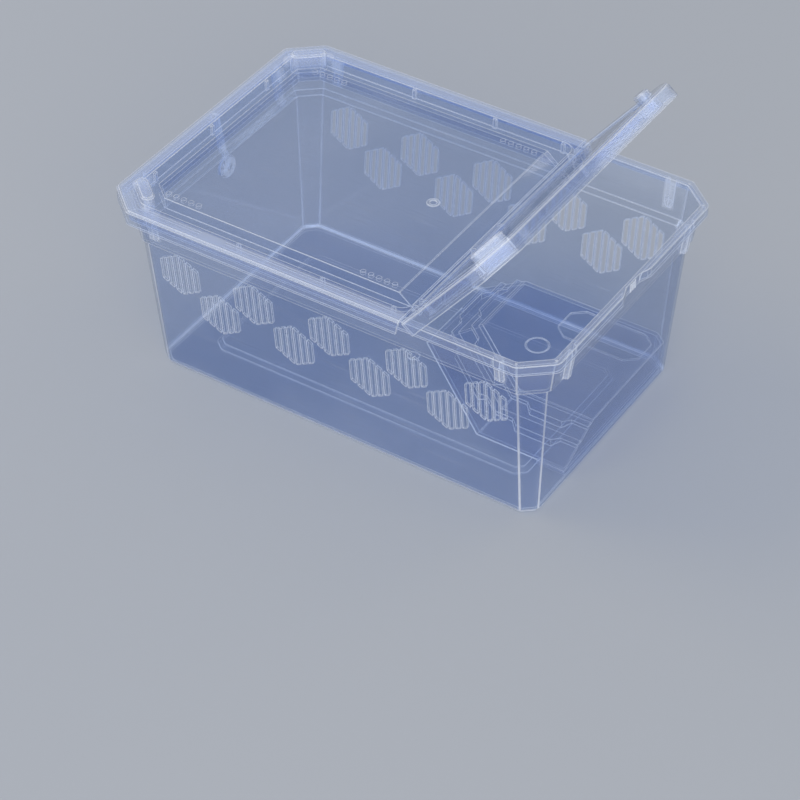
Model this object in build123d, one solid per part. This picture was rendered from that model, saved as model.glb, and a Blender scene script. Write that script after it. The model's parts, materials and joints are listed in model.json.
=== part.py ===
from build123d import *
import math
import os

os.makedirs("parts", exist_ok=True)

# Millimetres. The origin is under the middle of the tub's base, X runs along the box
# with the flap at +X, and Z is up. Every piece is drawn where it sits with the flap shut,
# and the flap is then turned open about its hinge.

# Tub
LENGTH = 320.0
WIDTH = 216.6
HEIGHT = 134.0
WALL = 1.6
FLOOR = 1.8
CORNER_SLOPE = 0.84
RIM_LEG = 20.4
BASE_LEG = 9.0
CORNER_RADIUS = 6.0
BASE_RADIUS = 3.0
RIM_WIDTH = 5.2
COLLAR_HEIGHT = 26.5
COLLAR_DRAFT = 3.65
SHOULDER_STEP = 3.05
SHOULDER_HEIGHT = 3.0
BODY_DRAFT_X = 6.6
BODY_DRAFT_Y = 10.5
FLANGE_DEPTH = 6.8
FLANGE_WALL = 1.6

# Raised middle of the tub's floor
PANEL_MARGIN_X = 26.6
PANEL_MARGIN_Y = 31.0
PANEL_RISE = 3.0
PANEL_LEG = 5.0

# Ribs under the rim, finger notch and end boss
RIB_WIDTH = 6.8
RIB_DEPTH = 3.0
END_RIB_Y = 72.0
END_RIB_DROP = 28.5
SIDE_RIB_X = 126.0
SIDE_RIB_DROP = 21.0
NOTCH_DEPTH = 3.2
NOTCH_OUTER = 17.0
NOTCH_INNER = 8.0
GRIP_RADIUS = 0.7
GRIP_PITCH = 2.6
BOSS_RADIUS = 7.7
BOSS_HEIGHT = 2.6
BOSS_Y = 6.0
BOSS_DROP = 38.5
BOSS_RING = 5.3
BOSS_GROOVE = 0.9
BOSS_HOLE = 2.0
STEM_FOOT = 4.6
STEM_TOP = 7.0
STEM_DEPTH = 2.6
GATE_RADIUS = 4.0
GATE_HEIGHT = 0.6

# Vents: hexagons of upright slots
VENT_ACROSS = 28.0
VENT_SLOTS = 6
VENT_BAR = 1.76
VENT_PITCH = 56.5
VENT_DROP = 17.4
VENT_ROW = 21.4
VENT_MARGIN = 5.0

# Lid and flap
LID_WALL = 1.6
LID_GAP = 1.0
LID_EDGE = 1.2
SKIRT_DEPTH = 10.6
PLUG_GAP = 2.0
PLUG_DEPTH = 9.6
PLUG_RADIUS = 8.0
CHANNEL_X = 10.2
CHANNEL_Y = 13.1
PANEL_DROP = 0.6
LID_PANEL_LEG = 12.0
RAMP_START = 3.0
RAMP_RUN = 10.0
FLAP_LENGTH = 99.3
POST_LENGTH = 24.0
POST_WIDTH = 9.0
POST_RISE = 5.0
POST_EDGE = 1.1
POST_SINK = 0.32
KEY_WIDTH = 2.5
KEY_DEPTH = 1.4
KEY_OFFSETS = (9.0, 60.0, 122.0)
KEY_MARGIN = 31.0
KEY_PITCH = 61.0
KEY_SHIFT = -6.0
AIR_HOLE = 3.0
AIR_SIDES = 10
AIR_PITCH = 5.75
AIR_COUNT = 5
AIR_EDGE = 5.5
AIR_END = 23.0

# Hinge
PIN_RADIUS = 1.9
PIN_GAP = 0.3
CLIP_WALL = 1.5
CLIP_MOUTH = 3.2
CLIP_ROOM = 0.6
HINGE_LIFT = 0.25
LID_SETBACK = 2.7
SKIRT_SLANT = 2.2
FLAP_START = 0.2
END_CLIP_IN = 6.5
END_CLIP_LENGTH = 7.0
MID_CLIP_Y = -14.0
MID_CLIP_LENGTH = 30.0
OPEN_ANGLE = 51.6
TAB_WIDTH = 7.0
TAB_THICK = 0.7
STIFFENER_LENGTH = 24.0
STIFFENER_Y = (3.4, 15.4)

# Corner platform
STEP_GAP = 0.4
STEP_WALL = 1.5
STEP_TOP = 22.2
STEP_SLOPE = 30.0
STEP_FRONT = 44.0
STEP_BACK = 0.4
STEP_CUT = 12.3
STEP_CUT_ANGLE = 51.7
TREAD_RISE = 2.5
TREAD_FEET = (8.6, 15.4)
TREAD_JOG = 4.6
TREAD_SHARE = 0.13
HATCH_LENGTH = 60.0
HATCH_WIDTH = 30.0
HATCH_LEG = 8.0
HATCH_MARGIN = 6.0
RING_X = 74.0
RING_Y = 33.0
RING_RADIUS = 8.0
RING_WIDTH = 0.8
RING_HEIGHT = 0.3


def tighten(leg, inset):
    """Corner leg of an outline drawn in by inset, with every side kept parallel."""
    slant = math.hypot(1, CORNER_SLOPE)
    return leg - inset * (1 + CORNER_SLOPE - slant) / CORNER_SLOPE


def octagon(half_x, half_y, leg, radius=0.0):
    """Rectangle with its corners cut along one shared direction, then rounded."""
    run = leg * CORNER_SLOPE
    quarter = [(half_x, half_y - run), (half_x - leg, half_y)]
    points = quarter + [(-x, y) for x, y in reversed(quarter)]
    points += [(-x, -y) for x, y in quarter] + [(x, -y) for x, y in reversed(quarter)]
    outline = make_face(Polyline(*points, close=True))
    return fillet(outline.vertices(), radius) if radius else outline


def drawn_in(size, inset):
    """Half sizes and corner leg of an outline moved inwards by inset."""
    half_x, half_y, leg = size
    return half_x - inset, half_y - inset, tighten(leg, inset)


def prism(outline, low, high):
    """Upright solid on an outline between two heights."""
    return extrude(Pos(0, 0, low) * outline, amount=high - low, dir=(0, 0, 1))


def tapered(levels, radius):
    """Solid through a stack of (height, (half_x, half_y, leg)) outlines."""
    return loft([Pos(0, 0, z) * octagon(*size, radius) for z, size in levels], ruled=True)


def upright_box(x0, x1, y0, y1, z0, z1):
    """Box given by its two corners."""
    middle = Pos((x0 + x1) / 2, (y0 + y1) / 2, (z0 + z1) / 2)
    return middle * Box(abs(x1 - x0), abs(y1 - y0), abs(z1 - z0))


def rod(start, end, radius):
    """Round bar from one point to another."""
    along = Vector(*end) - Vector(*start)
    plane = Plane(origin=start, z_dir=along)
    return plane * Cylinder(radius, along.length, align=(Align.CENTER, Align.CENTER, Align.MIN))


# Outlines of the tub from the rim down
rim = (LENGTH / 2, WIDTH / 2, RIM_LEG)
mouth = drawn_in(rim, RIM_WIDTH)
collar_top = drawn_in(mouth, -WALL)
collar_low = drawn_in(collar_top, COLLAR_DRAFT)
body_top = drawn_in(collar_low, SHOULDER_STEP)
base = (body_top[0] - BODY_DRAFT_X, body_top[1] - BODY_DRAFT_Y, BASE_LEG)
collar_z = HEIGHT - COLLAR_HEIGHT
body_z = collar_z - SHOULDER_HEIGHT
outside = [(0, base), (body_z, body_top), (collar_z, collar_low), (HEIGHT, collar_top)]

shoulder_turn = math.atan2(SHOULDER_STEP, SHOULDER_HEIGHT)
shoulder_shift = WALL * math.tan(shoulder_turn / 2)
inside = [
    (0, drawn_in(base, WALL)),
    (body_z + shoulder_shift, drawn_in(body_top, WALL)),
    (collar_z + shoulder_shift, drawn_in(collar_low, WALL)),
    (HEIGHT, mouth),
]


def size_at(levels, z):
    """Half sizes and corner leg at a height between the levels of a tapered form."""
    for (z0, low), (z1, high) in zip(levels, levels[1:]):
        if z <= z1:
            share = (z - z0) / (z1 - z0)
            return [a + (b - a) * share for a, b in zip(low, high)]
    return list(levels[-1][1])


def outside_at(z):
    """Half sizes of the tub's outside at a height."""
    return size_at(outside, z)


def rounded_foot(levels, low, radius):
    """Levels from the height low up, with the foot's edge rounded in two flats."""
    foot = []
    for turn in (0, math.pi / 4):
        inset = radius * (1 - math.sin(turn))
        foot.append((low + radius * (1 - math.cos(turn)), drawn_in(size_at(levels, low), inset)))
    foot.append((low + radius, size_at(levels, low + radius)))
    return foot + [level for level in levels if level[0] > low + radius]


def notch(grow):
    """Plan of the finger notch in the rim at the flap end, drawn outwards by grow."""
    deep = rim[0] - NOTCH_DEPTH - grow
    points = [(deep, NOTCH_INNER + grow), (rim[0], NOTCH_OUTER + grow)]
    points += [(rim[0] + WALL, NOTCH_OUTER + grow)]
    points += [(x, -y) for x, y in reversed(points)]
    return make_face(Polyline(*points, close=True))


def wall_rib(place, levels):
    """Rib with slanted sides that follows a wall, through a stack of (z, width, depth)."""
    sections = []
    for z, width, depth in levels:
        spots = [(-WALL / 2, width / 2), (depth, width / 4), (depth, -width / 4), (-WALL / 2, -width / 2)]
        points = [place(out, along, z) for out, along in spots]
        sections.append(make_face(Polyline(*points, close=True)))
    return loft(sections, ruled=True)


def hanging_rib(place, drop):
    """Blunt rib on the collar, from under the rim down to drop below its top."""
    low, head = HEIGHT - drop, HEIGHT - FLANGE_WALL / 2
    levels = [(z, RIB_WIDTH, RIB_DEPTH) for z in (low + RIB_DEPTH, head)]
    return wall_rib(place, [(low, RIB_WIDTH / 2, RIB_DEPTH / 4)] + levels)


def slots(x_mid, z_mid):
    """One hexagon of upright slots, as outlines in the XZ plane."""
    pitch = (VENT_ACROSS + VENT_BAR) / VENT_SLOTS
    reach = (pitch - VENT_BAR) / 2
    apex = VENT_ACROSS / math.sqrt(3)
    shapes = []
    for index in range(VENT_SLOTS):
        middle = (index - (VENT_SLOTS - 1) / 2) * pitch
        sides = [middle - reach, middle + reach]
        tops = [apex - abs(x) / math.sqrt(3) for x in sides]
        points = [(sides[0], -tops[0]), (sides[1], -tops[1]), (sides[1], tops[1]), (sides[0], tops[0])]
        shapes.append(make_face(Polyline(*[(x + x_mid, z + z_mid) for x, z in points], close=True)))
    return shapes


def vents():
    """Bars that cut the hexagon vents through both long walls."""
    room = base[0] - BASE_LEG - VENT_ACROSS / 2 - VENT_MARGIN
    steps = int(room // VENT_PITCH)
    upper = body_z - VENT_DROP
    shapes = []
    for index in range(-steps, steps + 1):
        shapes += slots(index * VENT_PITCH, upper)
    for index in range(-steps, steps):
        shapes += slots((index + 0.5) * VENT_PITCH, upper - VENT_ROW)
    return [extrude(Plane.XZ * shape, amount=WIDTH, both=True) for shape in shapes]


def boss():
    """Round boss under a tapered stem, outside the end wall away from the flap."""
    z = HEIGHT - BOSS_DROP
    tilt = math.degrees(math.atan2(BODY_DRAFT_X, body_z))
    disc = Cylinder(BOSS_RADIUS, 2 * BOSS_HEIGHT)
    groove = Cylinder(BOSS_RING + BOSS_GROOVE / 2, BOSS_GROOVE)
    groove -= Cylinder(BOSS_RING - BOSS_GROOVE / 2, BOSS_GROOVE)
    disc -= Pos(0, 0, BOSS_HEIGHT) * groove
    disc -= Pos(0, 0, BOSS_HEIGHT) * Cylinder(BOSS_HOLE, BOSS_HEIGHT)
    shape = Pos(-outside_at(z)[0], BOSS_Y, z) * Rot(0, -90 + tilt, 0) * disc
    head = HEIGHT - FLANGE_WALL / 2
    levels = []
    for level in (z, body_z, collar_z, head):
        width = STEM_FOOT + (STEM_TOP - STEM_FOOT) * (level - z) / (head - z)
        levels.append((level, width, STEM_DEPTH))
    return shape + wall_rib(lambda out, along, z: (-outside_at(z)[0] - out, BOSS_Y + along, z), levels)


def raised(top, size, turn):
    """Low block with 45 degree sides, its flat top at the height top."""
    foot = top - PANEL_RISE
    return tapered([(foot, drawn_in(size, turn - PANEL_RISE)), (top, drawn_in(size, turn))], PANEL_RISE)


def make_tub():
    """The tub: one thin moulded wall with a rim, a raised floor and vents."""
    body = tapered(rounded_foot(outside, 0, BASE_RADIUS), CORNER_RADIUS)
    flange = prism(octagon(*rim, CORNER_RADIUS) - notch(0), HEIGHT - FLANGE_DEPTH, HEIGHT)
    hollow = octagon(*drawn_in(rim, FLANGE_WALL), CORNER_RADIUS) - notch(FLANGE_WALL)
    flange -= prism(hollow, HEIGHT - FLANGE_DEPTH, HEIGHT - FLANGE_WALL)
    body += flange
    for side in (-1, 1):
        for y in (-END_RIB_Y, END_RIB_Y):
            body += hanging_rib(
                lambda out, along, z: (side * (outside_at(z)[0] + out), y + along, z), END_RIB_DROP
            )
        for x in (-SIDE_RIB_X, SIDE_RIB_X):
            body += hanging_rib(
                lambda out, along, z: (x + along, side * (outside_at(z)[1] + out), z), SIDE_RIB_DROP
            )
    for y in (-GRIP_PITCH, 0, GRIP_PITCH):
        low = HEIGHT - FLANGE_DEPTH
        face = rim[0] - NOTCH_DEPTH
        body += rod((face, y, low), (face, y, HEIGHT - LID_EDGE), GRIP_RADIUS)
    body += boss()
    body -= tapered(rounded_foot(inside, FLOOR, BASE_RADIUS - WALL), CORNER_RADIUS - WALL)
    panel = (base[0] - PANEL_MARGIN_X, base[1] - PANEL_MARGIN_Y, PANEL_LEG)
    body += raised(FLOOR + PANEL_RISE, panel, 0)
    body -= raised(PANEL_RISE, panel, FLOOR * math.tan(math.radians(22.5)))
    body += Pos(0, 0, FLOOR + PANEL_RISE + GATE_HEIGHT / 2) * Cylinder(GATE_RADIUS, GATE_HEIGHT)
    return body - vents()


# Heights and plan of the lid
lid_top = HEIGHT + LID_WALL
plug_low = lid_top - PLUG_DEPTH
lid = drawn_in(rim, -LID_GAP - LID_WALL)
plug = drawn_in(mouth, PLUG_GAP)
channel = drawn_in(plug, LID_WALL)
panel_x, panel_y = channel[0] - CHANNEL_X, channel[1] - CHANNEL_Y
hinge_x = lid[0] - FLAP_LENGTH
hinge_z = HEIGHT + HINGE_LIFT
clip_radius = PIN_RADIUS + PIN_GAP + CLIP_WALL
flap_setback = clip_radius + CLIP_ROOM


def plan(size, x0, x1, radius, hinge_radius):
    """Plan outline cut to x0..x1, with its own corner rounding along the cut at the hinge."""
    outline = octagon(*size) & Pos((x0 + x1) / 2, 0) * Rectangle(x1 - x0, 2 * WIDTH)
    at_hinge = [v for v in outline.vertices() if abs(v.X - hinge_x) < 2 * RAMP_RUN + flap_setback]
    others = [v for v in outline.vertices() if abs(v.X - hinge_x) >= 2 * RAMP_RUN + flap_setback]
    outline = fillet(others, radius)
    if hinge_radius:
        spots = [v.center() for v in at_hinge]
        corners = [v for v in outline.vertices() if any((v.center() - s).length < 0.01 for s in spots)]
        outline = fillet(corners, hinge_radius)
    return outline


def reach(side, setback, size_x):
    """X range of a lid outline that starts setback from the hinge, on one side of it."""
    near, far = hinge_x + side * setback, side * size_x
    return min(near, far), max(near, far)


def raised_panel(side, setback, grow, top, low):
    """Solid under the raised panel, with a ramp down to the channel at the hinge end."""
    start = hinge_x + side * (setback + RAMP_START - grow)
    crest = start + side * RAMP_RUN
    far = side * (panel_x + grow)
    profile = make_face(Polyline((start, low), (crest, top), (far, top), (far, low), close=True))
    block = extrude(Plane.XZ * profile, amount=panel_y + grow, both=True)
    size = (panel_x + grow, panel_y + grow, tighten(LID_PANEL_LEG, -grow))
    return block & prism(octagon(*size, LID_EDGE), low, top)


def key_ribs(side, setback):
    """Small upright ribs on the channel's outer wall."""
    low, high = plug_low, lid_top - 2 * PANEL_DROP
    half = KEY_WIDTH / 2
    x0, x1 = reach(side, setback, channel[0])
    spots = [KEY_SHIFT + KEY_PITCH * index for index in (-1, 0, 1)] if side < 0 else [0.0]
    inner, outer = side * (channel[0] - KEY_DEPTH), side * (channel[0] + LID_WALL / 2)
    ribs = [upright_box(inner, outer, y - half, y + half, low, high) for y in spots]
    inner, outer = channel[1] - KEY_DEPTH, channel[1] + LID_WALL / 2
    for offset in KEY_OFFSETS:
        if offset < x1 - x0 - KEY_MARGIN:
            x = hinge_x + side * (setback + offset)
            for end in (-1, 1):
                ribs.append(upright_box(x - half, x + half, end * inner, end * outer, low, high))
    return ribs


def post(side, end):
    """Hollow corner post that keeps a box stacked on top in place."""
    slant = math.hypot(1, CORNER_SLOPE)
    out = Vector(CORNER_SLOPE / slant, 1 / slant)
    corner = Vector(channel[0] - channel[2] / 2, channel[1] - CORNER_SLOPE * channel[2] / 2)
    middle = corner - out * (POST_WIDTH / 2 - POST_SINK)
    turn = side * end * math.degrees(math.atan2(-CORNER_SLOPE, 1))
    where = Pos(side * middle.X, end * middle.Y) * Rot(0, 0, turn)
    skin = where * SlotOverall(POST_LENGTH, POST_WIDTH)
    core = where * SlotOverall(POST_LENGTH - 2 * LID_WALL, POST_WIDTH - 2 * LID_WALL)
    top = lid_top + POST_RISE
    outer = prism(skin, plug_low, top)
    outer = chamfer(outer.faces().sort_by(Axis.Z)[-1].edges(), POST_EDGE)
    return outer, prism(core, plug_low, top - LID_WALL)


def lid_piece(side, cap_setback, plug_setback):
    """Half of the lid: the part left of the hinge when side is -1, the flap when it is 1."""
    cap = reach(side, cap_setback, lid[0])
    shape = prism(plan(lid, *cap, CORNER_RADIUS, 0), lid_top - SKIRT_DEPTH, lid_top)
    rim_edges = shape.faces().sort_by(Axis.Z)[-1].edges().filter_by(
        lambda e: abs(e.center().X - (hinge_x + side * cap_setback)) > 0.01
    )
    shape = chamfer(rim_edges, LID_EDGE)
    skirt_in = drawn_in(lid, LID_WALL)
    shape -= prism(
        plan(skirt_in, *reach(side, -RAMP_RUN, skirt_in[0]), CORNER_RADIUS - LID_WALL, 0),
        lid_top - SKIRT_DEPTH, lid_top - LID_WALL,
    )
    plug_range = reach(side, plug_setback, plug[0])
    shape += prism(
        plan(plug, *plug_range, CORNER_RADIUS, PLUG_RADIUS + LID_WALL), plug_low, lid_top - LID_WALL / 2
    )
    channel_range = reach(side, plug_setback + LID_WALL, channel[0])
    channel_plan = plan(channel, *channel_range, CORNER_RADIUS, PLUG_RADIUS)
    shape -= prism(channel_plan, plug_low + LID_WALL, lid_top + LID_WALL)
    start = plug_setback + LID_WALL
    panel_top = lid_top - PANEL_DROP
    slope = math.atan2(panel_top - plug_low - LID_WALL, RAMP_RUN)
    shape += raised_panel(side, start, 0, panel_top, plug_low)
    shape -= raised_panel(
        side, start + LID_WALL * (1 / math.cos(slope) - 1), -LID_WALL, panel_top - LID_WALL, plug_low
    )
    for rib in key_ribs(side, start):
        shape += rib
    cores = []
    for end in (-1, 1):
        outer, core = post(side, end)
        shape += outer
        cores.append(core)
    for core in cores:
        shape -= core
    return shape


def air_holes(x_mid):
    """Two rows of small holes, round in ten flats, along the long edges of the raised panel."""
    row = [(index - (AIR_COUNT - 1) / 2) * AIR_PITCH for index in range(AIR_COUNT)]
    spots = [(x_mid + step, end * (panel_y - AIR_EDGE)) for step in row for end in (-1, 1)]
    hole = RegularPolygon(AIR_HOLE / 2, AIR_SIDES)
    return [prism(Pos(x, y) * hole, plug_low, lid_top) for x, y in spots]


def clip(y_low, y_high):
    """Snap clip of the lid around the flap's pin, open downwards."""
    ring = Circle(clip_radius)
    arm = Pos(-(LID_SETBACK + LID_WALL) / 2, (LID_WALL - HINGE_LIFT - clip_radius) / 2)
    ring += arm * Rectangle(LID_SETBACK + LID_WALL, clip_radius + LID_WALL - HINGE_LIFT)
    ring -= Circle(PIN_RADIUS + PIN_GAP)
    ring -= Pos(0, -clip_radius) * Rectangle(CLIP_MOUTH, 2 * clip_radius)
    block = extrude(Plane.XZ * ring, amount=-(y_high - y_low))
    return Pos(hinge_x, y_low, hinge_z) * block


end_clip = plug[1] - END_CLIP_IN
clip_spans = [
    (-end_clip, -end_clip + END_CLIP_LENGTH),
    (MID_CLIP_Y - MID_CLIP_LENGTH / 2, MID_CLIP_Y + MID_CLIP_LENGTH / 2),
    (end_clip - END_CLIP_LENGTH, end_clip),
]


def make_main_lid():
    """The fixed part of the lid, with the clips that carry the flap."""
    shape = lid_piece(-1, LID_SETBACK, LID_SETBACK)
    shape -= air_holes(-panel_x + AIR_END) + air_holes(hinge_x - LID_SETBACK - RAMP_RUN - AIR_END)
    end_x = hinge_x - LID_SETBACK
    wedge = make_face(
        Polyline(
            (end_x, HEIGHT), (end_x - SKIRT_SLANT, lid_top - SKIRT_DEPTH - 1),
            (end_x + 1, lid_top - SKIRT_DEPTH - 1), (end_x + 1, HEIGHT), close=True,
        )
    )
    for end in (-1, 1):
        wedge_solid = extrude(Plane.XZ * wedge, amount=LID_GAP + LID_WALL, both=True)
        shape -= Pos(0, end * lid[1], 0) * wedge_solid
    for low, high in clip_spans:
        shape += clip(low, high)
    gate = Cylinder(GATE_RADIUS, 2 * GATE_HEIGHT) - Cylinder(GATE_RADIUS - LID_WALL, 3 * GATE_HEIGHT)
    shape += Pos(hinge_x - LID_SETBACK - 2 * AIR_END, 0, lid_top - PANEL_DROP) * gate
    return shape


def make_flap():
    """The hinged end of the lid, with the pin that snaps into the clips."""
    shape = lid_piece(1, FLAP_START, flap_setback)
    pin_end = end_clip + LID_WALL
    shape += rod((hinge_x, -pin_end, hinge_z), (hinge_x, pin_end, hinge_z), PIN_RADIUS)
    web = upright_box(hinge_x, hinge_x + flap_setback, -pin_end, pin_end, HEIGHT, lid_top)
    over_pin = hinge_z + PIN_RADIUS / 2
    web -= upright_box(hinge_x, hinge_x + FLAP_START / 2, -WIDTH, WIDTH, over_pin, lid_top)
    shape += web
    for low, high in clip_spans:
        ends = (low - CLIP_ROOM, high + CLIP_ROOM)
        room, pin = [
            rod((hinge_x, ends[0], hinge_z), (hinge_x, ends[1], hinge_z), radius)
            for radius in (clip_radius + CLIP_ROOM, PIN_RADIUS)
        ]
        shape -= room - pin
    tab_y = MID_CLIP_Y + MID_CLIP_LENGTH / 2 - TAB_WIDTH / 2
    shape += upright_box(
        hinge_x + flap_setback - TAB_THICK, hinge_x + flap_setback + LID_WALL / 2,
        tab_y - TAB_WIDTH / 2, tab_y + TAB_WIDTH / 2, plug_low, hinge_z - clip_radius,
    )
    far = panel_x - 2 * LID_WALL
    half = LID_WALL / 2
    high = lid_top - PANEL_DROP - half
    for y in STIFFENER_Y:
        shape += upright_box(far - STIFFENER_LENGTH, far, y - half, y + half, high - LID_WALL - half, high)
    hinge = Axis((hinge_x, 0, hinge_z), (0, 1, 0))
    return shape.rotate(hinge, -OPEN_ANGLE)


def cross(line, other):
    """Point where two lines (normal x, normal y, distance) meet."""
    a, b, c = line
    d, e, f = other
    det = a * e - b * d
    return (c * e - b * f) / det, (a * f - c * d) / det


def platform_corners(start, z, gap):
    """Corners of the platform's plan: three wall sides, then three ramp sides drawn in by start."""
    half_x, half_y, leg = drawn_in(outside_at(z), BASE_RADIUS + gap)
    slant = math.hypot(1, CORNER_SLOPE)
    turn = math.radians(STEP_CUT_ANGLE)
    lines = [
        (1, 0, half_x),
        (CORNER_SLOPE / slant, 1 / slant,
         (CORNER_SLOPE * half_x + half_y - CORNER_SLOPE * leg) / slant),
        (0, 1, half_y),
        (-1, 0, STEP_BACK - start),
        (-math.cos(turn), -math.sin(turn), -STEP_CUT - start),
        (0, -1, STEP_FRONT - start),
    ]
    return [cross(lines[index - 1], lines[index]) for index in range(len(lines))]


def platform_outline(start, z, gap):
    """The platform's plan at a height."""
    return Pos(0, 0, z) * make_face(Polyline(*platform_corners(start, z, gap), close=True))


def platform_block(low, high, start, gap):
    """Ramped block between two heights whose ramp sides start drawn in by start."""
    run = (high - low) / math.tan(math.radians(STEP_SLOPE))
    plans = [platform_outline(start, low, gap), platform_outline(start + run, high, gap)]
    return loft(plans, ruled=True)


def tread(foot_z, start):
    """Step round the three ramp sides, which stands further out along the middle of each side."""
    top = foot_z + TREAD_RISE
    shape = extrude(platform_outline(start, foot_z, STEP_GAP), amount=TREAD_RISE, dir=(0, 0, 1))
    low = foot_z - TREAD_JOG * math.tan(math.radians(STEP_SLOPE))
    corners = [Vector(*corner) for corner in platform_corners(start, foot_z, STEP_GAP)]
    for begin, end in zip(corners[3:], corners[4:] + corners[:1]):
        along = (end - begin).normalized()
        out = Vector(along.Y, -along.X) * TREAD_JOG
        first, last = [begin + (end - begin) * share for share in (TREAD_SHARE, 1 - TREAD_SHARE)]
        slant = along * (2 * TREAD_JOG)
        jog = Polyline(first - out, first + slant + out, last - slant + out, last - out, close=True)
        shape += prism(make_face(jog), low, top)
    return shape


def make_corner_platform():
    """Loose moulded platform with stepped ramps, standing in the flap-end corner."""
    deck = FLOOR + PANEL_RISE
    top = FLOOR + STEP_TOP
    slope = math.radians(STEP_SLOPE)
    shape = platform_block(deck, top, 0, STEP_GAP)
    for foot in TREAD_FEET:
        shape += tread(deck + foot, foot / math.tan(slope))
    shape += extrude(platform_outline(0, FLOOR, STEP_GAP), amount=PANEL_RISE, dir=(0, 0, 1))
    shape -= platform_block(deck, top - STEP_WALL, STEP_WALL / math.sin(slope), STEP_GAP + STEP_WALL)
    lower = platform_outline(STEP_WALL, FLOOR, STEP_GAP + STEP_WALL)
    shape -= extrude(lower, amount=PANEL_RISE, dir=(0, 0, 1))
    panel = (base[0] - PANEL_MARGIN_X, base[1] - PANEL_MARGIN_Y, PANEL_LEG)
    spread = drawn_in(panel, -PANEL_RISE - STEP_GAP)
    shape -= prism(octagon(*spread), 0, deck)
    edge = BASE_RADIUS + STEP_GAP + HATCH_MARGIN
    half_x, half_y = drawn_in(outside_at(top), edge)[:2]
    hatch = Pos(half_x - HATCH_LENGTH / 2, half_y - HATCH_WIDTH / 2)
    shape -= prism(hatch * octagon(HATCH_LENGTH / 2, HATCH_WIDTH / 2, HATCH_LEG, 1.0), deck, top + 1)
    ring = Circle(RING_RADIUS) - Circle(RING_RADIUS - RING_WIDTH)
    return shape + prism(Pos(RING_X, RING_Y) * ring, top - STEP_WALL / 2, top + RING_HEIGHT)


pieces = {
    "tub": make_tub(),
    "main_lid": make_main_lid(),
    "flap": make_flap(),
    "corner_platform": make_corner_platform(),
}
for name, shape in pieces.items():
    export_step(shape, f"parts/{name}.step")
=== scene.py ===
import json
import math

import bpy
from mathutils import Matrix, Vector

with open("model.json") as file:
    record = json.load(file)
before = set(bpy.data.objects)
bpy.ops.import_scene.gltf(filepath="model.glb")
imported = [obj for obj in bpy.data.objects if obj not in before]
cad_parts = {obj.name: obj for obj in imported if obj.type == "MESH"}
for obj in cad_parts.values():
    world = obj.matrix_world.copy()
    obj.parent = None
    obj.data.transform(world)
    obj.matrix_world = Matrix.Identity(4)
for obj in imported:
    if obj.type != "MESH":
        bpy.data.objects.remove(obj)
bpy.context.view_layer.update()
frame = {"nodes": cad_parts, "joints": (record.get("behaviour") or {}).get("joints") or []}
nodes = frame["nodes"]

# All lengths are in metres, unless a comment says otherwise.

# Camera, as fitted to the rims, corners and base of the photographed box
AZIMUTH, ELEVATION, ROLL = 33.2147, 40.6265, -0.2786  # degrees
DISTANCE = 1.79538
TARGET = Vector((0.004705, -0.023676, -0.013932))
LENS, SENSOR = 123.8, 36  # mm

# Floor, whose colour also shows past its fade and its edge
FLOOR_COLOUR = (0.44, 0.46, 0.50, 1.0)
FLOOR_ROUGHNESS = 0.3
FLOOR_GAP = 0.0003
FLOOR_RADIUS, FLOOR_SIDES = 9.0, 96
FLOOR_FADE = 0.7, 2.0

# Light. A lamp has its name, place, target, size and power in watts
SKY_COLOUR = (0.93, 0.96, 1.0, 1.0)
SKY_LIGHT = 0.55
LAMPS = (
    ("key", (-1.9, -0.6, 1.7), (0, 0, 0.05), 1.5, 25),
    ("fill", (1.45, -1.9, 0.85), (0, 0, 0.05), 2.2, 36),
    ("rim", (0.9, 1.9, 0.9), (0, 0, 0.08), 0.9, 7),
)
BOUNCES, CLEAR_BOUNCES = 20, 32

# Plastic. Milk is the share of a surface that hides what lies behind it
TINT = (0.86, 0.897, 0.965, 1.0)
MILK = (0.95, 0.965, 1.0, 1.0)
BACK_LIT = 0.35  # share of the milk that is lit from behind
TUB_HAZE, LID_HAZE, PLATFORM_HAZE = 0.032, 0.035, 0.045
HAZE_LOW, HAZE_HIGH = 0.4, 1.6
SPECK_LOW, SPECK_HIGH = 0.85, 1.15
SCUFF_MILK = 0.09
RIM_MILK, LIP_MILK = 0.05, 0.2

# Gloss
GLOSS, GLANCING_GLOSS, GLANCING_POWER = 0.04, 0.9, 5.0
SMOOTH, SCUFFED, EDGE_ROUGHNESS = 0.05, 0.14, 0.22
SWELL_STRENGTH, SWELL_HEIGHT = 0.25, 0.0006

# Noise: cells a metre, levels of detail and stretch
FLOW = 9.0, 3.0, (1.0, 0.45, 1.6)
SPECK = 900.0, 1.0
SCUFF = 60.0, 4.0, (0.4, 14.0, 8.0)
SWELL = 26.0, 1.0

# Noise values over which haze, specks, scuffs and the tub's painted highlight lines go from faint
# to full
HAZE_RANGE = 0.3, 0.75
SPECK_RANGE = 0.3, 0.7
SCUFF_RANGE, SCUFF_ROUGH_RANGE = (0.58, 0.74), (0.5, 0.8)
LINE_RANGE = 0.35, 0.65

# Sharp edges, found where a bevel turns the face's normal: the cosines where an edge starts to
# show and where it shows fully
EDGE_RADIUS, EDGE_SAMPLES = 0.0009, 3
EDGE_TURN = 0.9992, 0.98
# Painted highlight: the share of white milk laid along the edges
EDGE_PAINTED_HIGHLIGHT = 0.97
EDGE_GLOSS = 0.10

# The tub's outline: height, half length, half width and corner leg, from its foot to its rim
CORNER_SLOPE = 0.84
LEVELS = (
    (0.0, 0.1431, 0.0875, 0.0090),
    (0.1045, 0.1497, 0.0980, 0.0139),
    (0.1075, 0.1528, 0.1011, 0.0158),
    (0.1340, 0.1564, 0.1047, 0.0181),
)
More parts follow.
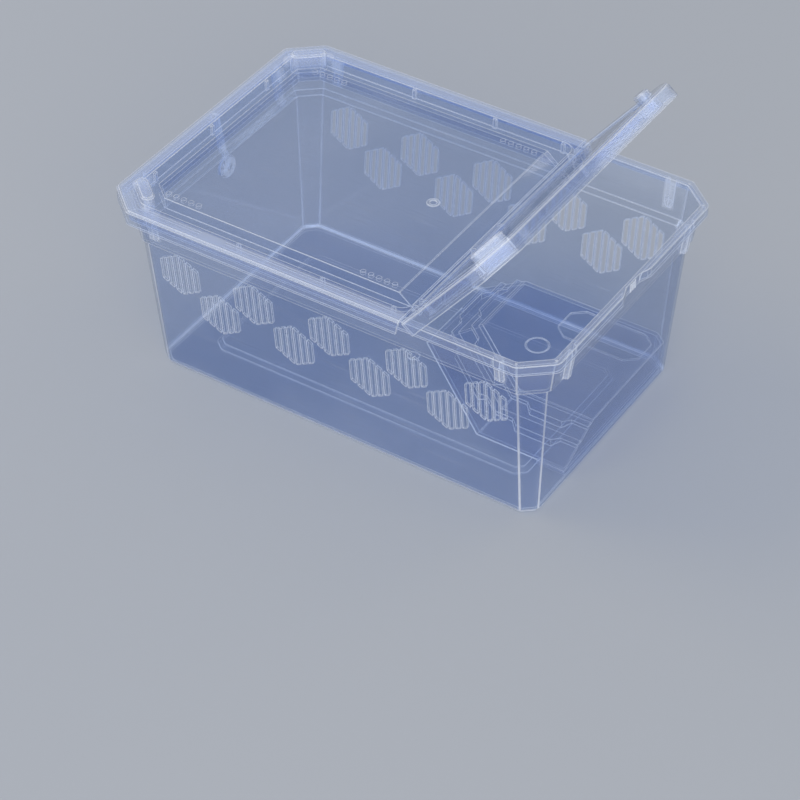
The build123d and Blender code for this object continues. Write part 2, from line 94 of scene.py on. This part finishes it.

# Painted highlight lines on its rounded edges: where a line's core ends and where its fade ends
LINE_PAINTED_HIGHLIGHT = 0.4, 0.75
END_LINE, SIDE_LINE = (0.0006, 0.0013), (0.0005, 0.0011)
FOOT_LINE, FOOT_PAINTED_HIGHLIGHT = (0.0006, 0.0014), 1.4
FOOT_PLACE = (-0.0005, 0.0016, 0)  # beyond the foot's outline, and height

# The lid's outer lip: the height where it starts, and half length, half width and corner leg
LIP, LIP_BLUR = 0.1332, 0.0005
LIP_SIZE, LIP_SIDE_BLUR = (0.1526, 0.1009, 0.0165), 0.0008

# Frosted places. A line has two ends, core and fade, and a box has its two corners
HINGE = next(joint["pos_m"] for joint in frame["joints"] if joint["name"] == "flap_hinge")
OPEN_ANGLE = math.radians(51.6)  # of the flap, from shut
FROST_BLUR = 0.0006
POST = (0.1322, 0.0976, 0), (0.1500, 0.0826, 0), 0.0050, 0.0058
POST_LOW, POST_MILK = 0.1275, 0.2
RIB_MILK = 0.2
RIBS = (
    ((0.1495, 0.0684, 0.1050), (0.1590, 0.0756, 0.1335)),
    ((0.1224, 0.0990, 0.1128), (0.1296, 0.1075, 0.1335)),
)
STEM = (-0.1525, 0.006, 0.1030), (-0.1575, 0.006, 0.1310), 0.0030, 0.0036
DISC_ENDS = (-0.1530, 0.006, 0.0955), (-0.1490, 0.006, 0.0955)
DISC_OUTER, DISC_HOLE = (0.0068, 0.0076), (0.0024, 0.0034)
BOSS_MILK = 0.42
CLIP = (0.0585, -0.0290, 0.1300), (0.0672, 0.0010, 0.1382), 0.03
TAB = (0.0660, -0.0060, 0.1255), (0.0700, 0.0015, 0.1340), 0.12

# The rows of small air holes, each with a painted highlight ring about a clear bore
AIR_ROWS = (
    ((0.1040, 0.0786, 0.1325), (0.1318, 0.0829, 0.1360)),
    ((0.0137, 0.0786, 0.1325), (0.0415, 0.0829, 0.1360)),
)
AIR_BLUR = 0.0002
TOP_FACING = 0.4, 0.6  # upward part of the normal, from a bore's wall to the top
NO_EDGE, RING_PAINTED_HIGHLIGHT = -1.0, 1.8


def feed(tree, socket, value):
    """Links a socket to an input, or sets the input to a plain value."""
    if isinstance(value, bpy.types.NodeSocket):
        tree.links.new(value, socket)
    else:
        socket.default_value = value


def add(tree, kind, **values):
    """A new shader node. Each value goes to the input of that name."""
    made = tree.nodes.new("ShaderNode" + kind)
    for name, value in values.items():
        feed(tree, made.inputs[name], value)
    return made


def operate(tree, kind, operation, values):
    """A Math or Vector Math node, fed with values in order."""
    made = tree.nodes.new("ShaderNode" + kind)
    made.operation = operation
    for socket, value in zip(made.inputs, values):
        feed(tree, socket, value)
    return made.outputs


def maths(tree, operation, *values):
    """The number that a Math node makes of numbers."""
    return operate(tree, "Math", operation, values)[0]


def vector(tree, operation, *values):
    """The vector that a Vector Math node makes of vectors."""
    return operate(tree, "VectorMath", operation, values)["Vector"]


def measure(tree, operation, *values):
    """The number that a Vector Math node makes of vectors."""
    return operate(tree, "VectorMath", operation, values)["Value"]


def part(tree, place, axis):
    """One coordinate of a place or direction."""
    return add(tree, "SeparateXYZ", Vector=place).outputs[axis]


def highest(tree, *values):
    """The highest of several numbers."""
    found = values[0]
    for value in values[1:]:
        found = maths(tree, "MAXIMUM", found, value)
    return found


def fade(tree, value, low, high, to_low=0.0, to_high=1.0):
    """to_low below low and to_high above high, with a smooth step between them."""
    made = add(tree, "MapRange", Value=value)
    made.interpolation_type = "SMOOTHSTEP"
    limits = {"From Min": low, "From Max": high, "To Min": to_low, "To Max": to_high}
    for name, number in limits.items():
        made.inputs[name].default_value = number
    return made.outputs["Result"]


def noise(tree, place, scale, detail, stretch=(1, 1, 1)):
    """Noise of that many cells a metre, drawn out where stretch is small."""
    stretched = vector(tree, "MULTIPLY", place, stretch)
    return add(tree, "TexNoise", Vector=stretched, Scale=scale, Detail=detail).outputs["Fac"]


def within(tree, place, low, high, blur, share=1.0):
    """share inside the box from low to high, fading to 0 over blur outside it."""
    middle = (Vector(low) + Vector(high)) / 2
    half = (Vector(high) - Vector(low)) / 2
    offset = vector(tree, "ABSOLUTE", vector(tree, "SUBTRACT", place, middle))
    outside = vector(tree, "MAXIMUM", vector(tree, "SUBTRACT", offset, half), (0, 0, 0))
    return fade(tree, measure(tree, "LENGTH", outside), 0.0, blur, share, 0.0)


def near_line(tree, place, start, end, core, reach):
    """1 within core of the line from start to end, fading to 0 at reach."""
    run = Vector(end) - Vector(start)
    offset = vector(tree, "SUBTRACT", place, start)
    along = measure(tree, "DOT_PRODUCT", offset, run / run.length_squared)
    nearest = tree.nodes.new("ShaderNodeVectorMath")
    nearest.operation = "SCALE"
    feed(tree, nearest.inputs[0], run)
    feed(tree, nearest.inputs["Scale"], add(tree, "Clamp", Value=along).outputs[0])
    gap = measure(tree, "DISTANCE", offset, nearest.outputs["Vector"])
    return fade(tree, gap, core, reach, 1.0, 0.0)


def beyond(tree, place, half_x, half_y, leg):
    """How far a place lies outside an upright octagon. The place is mirrored to x and y over 0."""
    run = leg * CORNER_SLOPE
    across = Vector((run, leg, 0)).normalized()
    corner = Vector((half_x, half_y - run, 0))
    past_cut = maths(
        tree, "SUBTRACT", measure(tree, "DOT_PRODUCT", place, across), across.dot(corner)
    )
    past_end = maths(tree, "SUBTRACT", part(tree, place, "X"), half_x)
    past_side = maths(tree, "SUBTRACT", part(tree, place, "Y"), half_y)
    return highest(tree, past_end, past_side, past_cut)


def tub_painted_highlight_lines(tree, place, height):
    """Painted highlight lines: 1 on the tub's upright corner edges, and more on the rounded edge
    of its foot.
    """
    foot = LEVELS[0][1:]
    section = add(tree, "CombineXYZ", X=beyond(tree, place, *foot), Y=height).outputs[0]
    off = measure(tree, "DISTANCE", section, FOOT_PLACE)
    found = [fade(tree, off, *FOOT_LINE, FOOT_PAINTED_HIGHLIGHT, 0.0)]
    for (z0, x0, y0, leg0), (z1, x1, y1, leg1) in zip(LEVELS, LEVELS[1:]):
        at_end = (x0, y0 - leg0 * CORNER_SLOPE, z0), (x1, y1 - leg1 * CORNER_SLOPE, z1)
        at_side = (x0 - leg0, y0, z0), (x1 - leg1, y1, z1)
        found.append(near_line(tree, place, *at_end, *END_LINE))
        found.append(near_line(tree, place, *at_side, *SIDE_LINE))
    return highest(tree, *found)


def tub_boss(tree, place):
    """1 on the stem of the end wall's boss and on its disc, round its hole."""
    disc = near_line(tree, place, *DISC_ENDS, *DISC_OUTER)
    hole = near_line(tree, place, *DISC_ENDS, *DISC_HOLE)
    return highest(tree, near_line(tree, place, *STEM), maths(tree, "SUBTRACT", disc, hole))


def lip_milk(tree, mirrored, height):
    """The milk of the rims, which is higher on the lid's outer lip."""
    by_height = fade(tree, height, LIP, LIP + LIP_BLUR, RIM_MILK, LIP_MILK)
    outer = fade(tree, beyond(tree, mirrored, *LIP_SIZE), 0.0, LIP_SIDE_BLUR)
    return maths(tree, "MULTIPLY", by_height, outer)


def frost_milk(tree, place, mirrored, height, frosted, is_tub):
    """The milk of the posts, ribs and other frosted places."""
    plan = vector(tree, "MULTIPLY", mirrored, (1, 1, 0))
    at_post = near_line(tree, plan, *POST)
    post_height = fade(tree, height, POST_LOW, LIP, 0.0, POST_MILK)
    found = [maths(tree, "MULTIPLY", at_post, post_height)]
    for low, high, share in frosted:
        found.append(within(tree, place, low, high, FROST_BLUR, share))
    for low, high in RIBS:
        found.append(within(tree, mirrored, low, high, FROST_BLUR, RIB_MILK))
    if is_tub:
        found.append(maths(tree, "MULTIPLY", tub_boss(tree, place), BOSS_MILK))
    return highest(tree, *found)


def ring_holes(tree, edge, mirrored, normal):
    """edge without the walls of the air holes' bores, and with a stronger painted highlight about
    them.
    """
    rows = (within(tree, mirrored, low, high, AIR_BLUR) for low, high in AIR_ROWS)
    extra = fade(tree, part(tree, normal, "Z"), *TOP_FACING, NO_EDGE, RING_PAINTED_HIGHLIGHT)
    change = maths(tree, "MULTIPLY_ADD", highest(tree, *rows), extra, 1.0)
    return maths(tree, "MULTIPLY", edge, change)


def mix(tree, share, first, second):
    """A Mix Shader, from first at 0 to second at 1."""
    made = tree.nodes.new("ShaderNodeMixShader")
    for socket, value in zip(made.inputs, (share, first, second)):
        feed(tree, socket, value)
    return made.outputs[0]


def clear_plastic(name, haze, turn=0.0, frosted=(), is_tub=False, ringed=False):
    """Clear moulded plastic with a faint haze, whose rims and frosted places catch light and whose
    edges carry a painted highlight.

    turn brings the flap's coordinates back to where it lies shut.
    """
    material = bpy.data.materials.new(name)
    material.use_nodes = True
    tree = material.node_tree
    tree.nodes.clear()
    place = add(tree, "TexCoord").outputs["Object"]
    if turn:
        shut = add(tree, "VectorRotate", Vector=place, Center=HINGE, Angle=turn)
        shut.rotation_type = "Y_AXIS"
        place = shut.outputs[0]
    mirrored = vector(tree, "ABSOLUTE", place)
    height = part(tree, place, "Z")

    flow = noise(tree, place, *FLOW)
    speck = noise(tree, place, *SPECK)
    scuff = noise(tree, place, *SCUFF)
    swell = noise(tree, place, *SWELL)

    # Edges, which carry a painted highlight of white milk and a rougher, stronger gloss
    bevel = add(tree, "Bevel", Radius=EDGE_RADIUS)
    bevel.samples = EDGE_SAMPLES
    rounded = bevel.outputs[0]
    flat = tree.nodes.new("ShaderNodeNewGeometry").outputs["True Normal"]
    edge = fade(tree, measure(tree, "DOT_PRODUCT", rounded, flat), *EDGE_TURN)
    if ringed:
        # Painted highlight rings about the air holes
        edge = ring_holes(tree, edge, mirrored, flat)
    # Painted highlight lines along the tub's rounded corners and foot, as white milk
    if is_tub:
        strength = fade(tree, flow, *LINE_RANGE, *LINE_PAINTED_HIGHLIGHT)
        lines = maths(tree, "MULTIPLY", tub_painted_highlight_lines(tree, mirrored, height), strength)
        edge = highest(tree, edge, lines)

    # Milk, which also holds the painted highlights on the edges and the tub's lines
    veil = fade(tree, flow, *HAZE_RANGE, haze * HAZE_LOW, haze * HAZE_HIGH)
    veil = maths(tree, "ADD", veil, fade(tree, scuff, *SCUFF_RANGE, 0.0, SCUFF_MILK))
    # Painted highlight: white milk along the edges
    veil = maths(tree, "MULTIPLY_ADD", edge, EDGE_PAINTED_HIGHLIGHT, veil)
    veil = maths(tree, "ADD", veil, lip_milk(tree, mirrored, height))
    frost = frost_milk(tree, place, mirrored, height, frosted, is_tub)
    specks = fade(tree, speck, *SPECK_RANGE, SPECK_LOW, SPECK_HIGH)
    veil = maths(tree, "MULTIPLY_ADD", frost, specks, veil)

    # Gloss
    rough = fade(tree, scuff, *SCUFF_ROUGH_RANGE, SMOOTH, SCUFFED)
    rough = maths(tree, "MULTIPLY_ADD", edge, EDGE_ROUGHNESS, rough)
    slant = add(tree, "LayerWeight").outputs["Facing"]
    glancing = maths(tree, "POWER", slant, GLANCING_POWER)
    shine = maths(tree, "MULTIPLY_ADD", glancing, GLANCING_GLOSS, GLOSS)
    shine = maths(tree, "MULTIPLY_ADD", edge, EDGE_GLOSS, shine)
    bump = add(
        tree, "Bump", Height=swell, Strength=SWELL_STRENGTH, Distance=SWELL_HEIGHT, Normal=rounded
    ).outputs[0]

    through = add(tree, "BsdfTransparent", Color=TINT).outputs[0]
    front = add(tree, "BsdfDiffuse", Color=MILK).outputs[0]
    behind = add(tree, "BsdfTranslucent", Color=MILK).outputs[0]
    gloss = add(tree, "BsdfAnisotropic", Roughness=rough, Normal=bump).outputs[0]
    body = mix(tree, veil, through, mix(tree, BACK_LIT, front, behind))
    seen = mix(tree, shine, body, gloss)

    # Its shadow is that of clean tinted plastic
    shadow = add(tree, "BsdfTransparent", Color=TINT).outputs[0]
    for_shadow = add(tree, "LightPath").outputs["Is Shadow Ray"]
    add(tree, "OutputMaterial", Surface=mix(tree, for_shadow, seen, shadow))
    return material


def dress(name, material):
    """Puts a material on every slot of a CAD node."""
    data = nodes[name].data
    if not data.materials:
        data.materials.append(material)
    for i in range(len(data.materials)):
        data.materials[i] = material


dress("tub", clear_plastic("clear_tub", TUB_HAZE, is_tub=True))
dress("main_lid", clear_plastic("clear_lid", LID_HAZE, frosted=[CLIP], ringed=True))
dress("flap", clear_plastic("clear_flap", LID_HAZE, OPEN_ANGLE, [TAB]))
dress("corner_platform", clear_plastic("clear_platform", PLATFORM_HAZE))


def seen_directly(tree):
    """1 for a ray from the camera, straight or by way of gloss or clear plastic."""
    path = add(tree, "LightPath").outputs
    rays = ("Is Camera Ray", "Is Glossy Ray", "Is Transmission Ray")
    return highest(tree, *(path[ray] for ray in rays))


# Floor, which keeps its colour where it runs out of the lamps' light
bpy.ops.mesh.primitive_circle_add(
    vertices=FLOOR_SIDES, radius=FLOOR_RADIUS, fill_type="NGON", location=(0, 0, -FLOOR_GAP)
)
floor = bpy.context.object
floor.name = "floor"
floor_material = bpy.data.materials.new("floor")
floor_material.use_nodes = True
ground = floor_material.node_tree
ground.nodes.clear()
lit = add(ground, "BsdfDiffuse", Color=FLOOR_COLOUR, Roughness=FLOOR_ROUGHNESS).outputs[0]
plain = add(ground, "Emission", Color=FLOOR_COLOUR).outputs[0]
from_middle = measure(ground, "LENGTH", add(ground, "TexCoord").outputs["Object"])
is_far = maths(ground, "MULTIPLY", fade(ground, from_middle, *FLOOR_FADE), seen_directly(ground))
add(ground, "OutputMaterial", Surface=mix(ground, is_far, lit, plain))
floor.data.materials.append(floor_material)

# World, with the floor's own colour where it is seen
world = bpy.data.worlds.new("studio")
bpy.context.scene.world = world
world.use_nodes = True
sky = world.node_tree
sky.nodes.clear()
lighting = add(sky, "Background", Color=SKY_COLOUR, Strength=SKY_LIGHT).outputs[0]
backdrop = add(sky, "Background", Color=FLOOR_COLOUR, Strength=1.0).outputs[0]
add(sky, "OutputWorld", Surface=mix(sky, seen_directly(sky), lighting, backdrop))

# Lamps, which are square soft boxes
for name, place, target, size, power in LAMPS:
    light = bpy.data.lights.new(name, "AREA")
    light.shape = "SQUARE"
    light.size = size
    light.energy = power
    lamp = bpy.data.objects.new(name, light)
    lamp.location = place
    lamp.rotation_mode = "QUATERNION"
    lamp.rotation_quaternion = (Vector(target) - Vector(place)).to_track_quat("-Z", "Y")
    bpy.context.scene.collection.objects.link(lamp)

# Camera
azimuth, elevation, roll = (math.radians(angle) for angle in (AZIMUTH, ELEVATION, ROLL))
back = Vector((math.sin(azimuth), -math.cos(azimuth), math.tan(elevation))).normalized()
level = Vector((math.cos(azimuth), math.sin(azimuth), 0))
right = math.cos(roll) * level + math.sin(roll) * back.cross(level)
up = back.cross(right)
turned = Matrix((right, up, back)).transposed().to_4x4()
camera = bpy.data.objects.new("camera", bpy.data.cameras.new("camera"))
bpy.context.scene.collection.objects.link(camera)
camera.data.lens = LENS
camera.data.sensor_width = SENSOR
camera.matrix_world = Matrix.Translation(TARGET + DISTANCE * back) @ turned
bpy.context.scene.camera = camera

scene = bpy.context.scene
scene.view_settings.view_transform = "Standard"
scene.cycles.max_bounces = BOUNCES
scene.cycles.transmission_bounces = BOUNCES
scene.cycles.transparent_max_bounces = CLEAR_BOUNCES
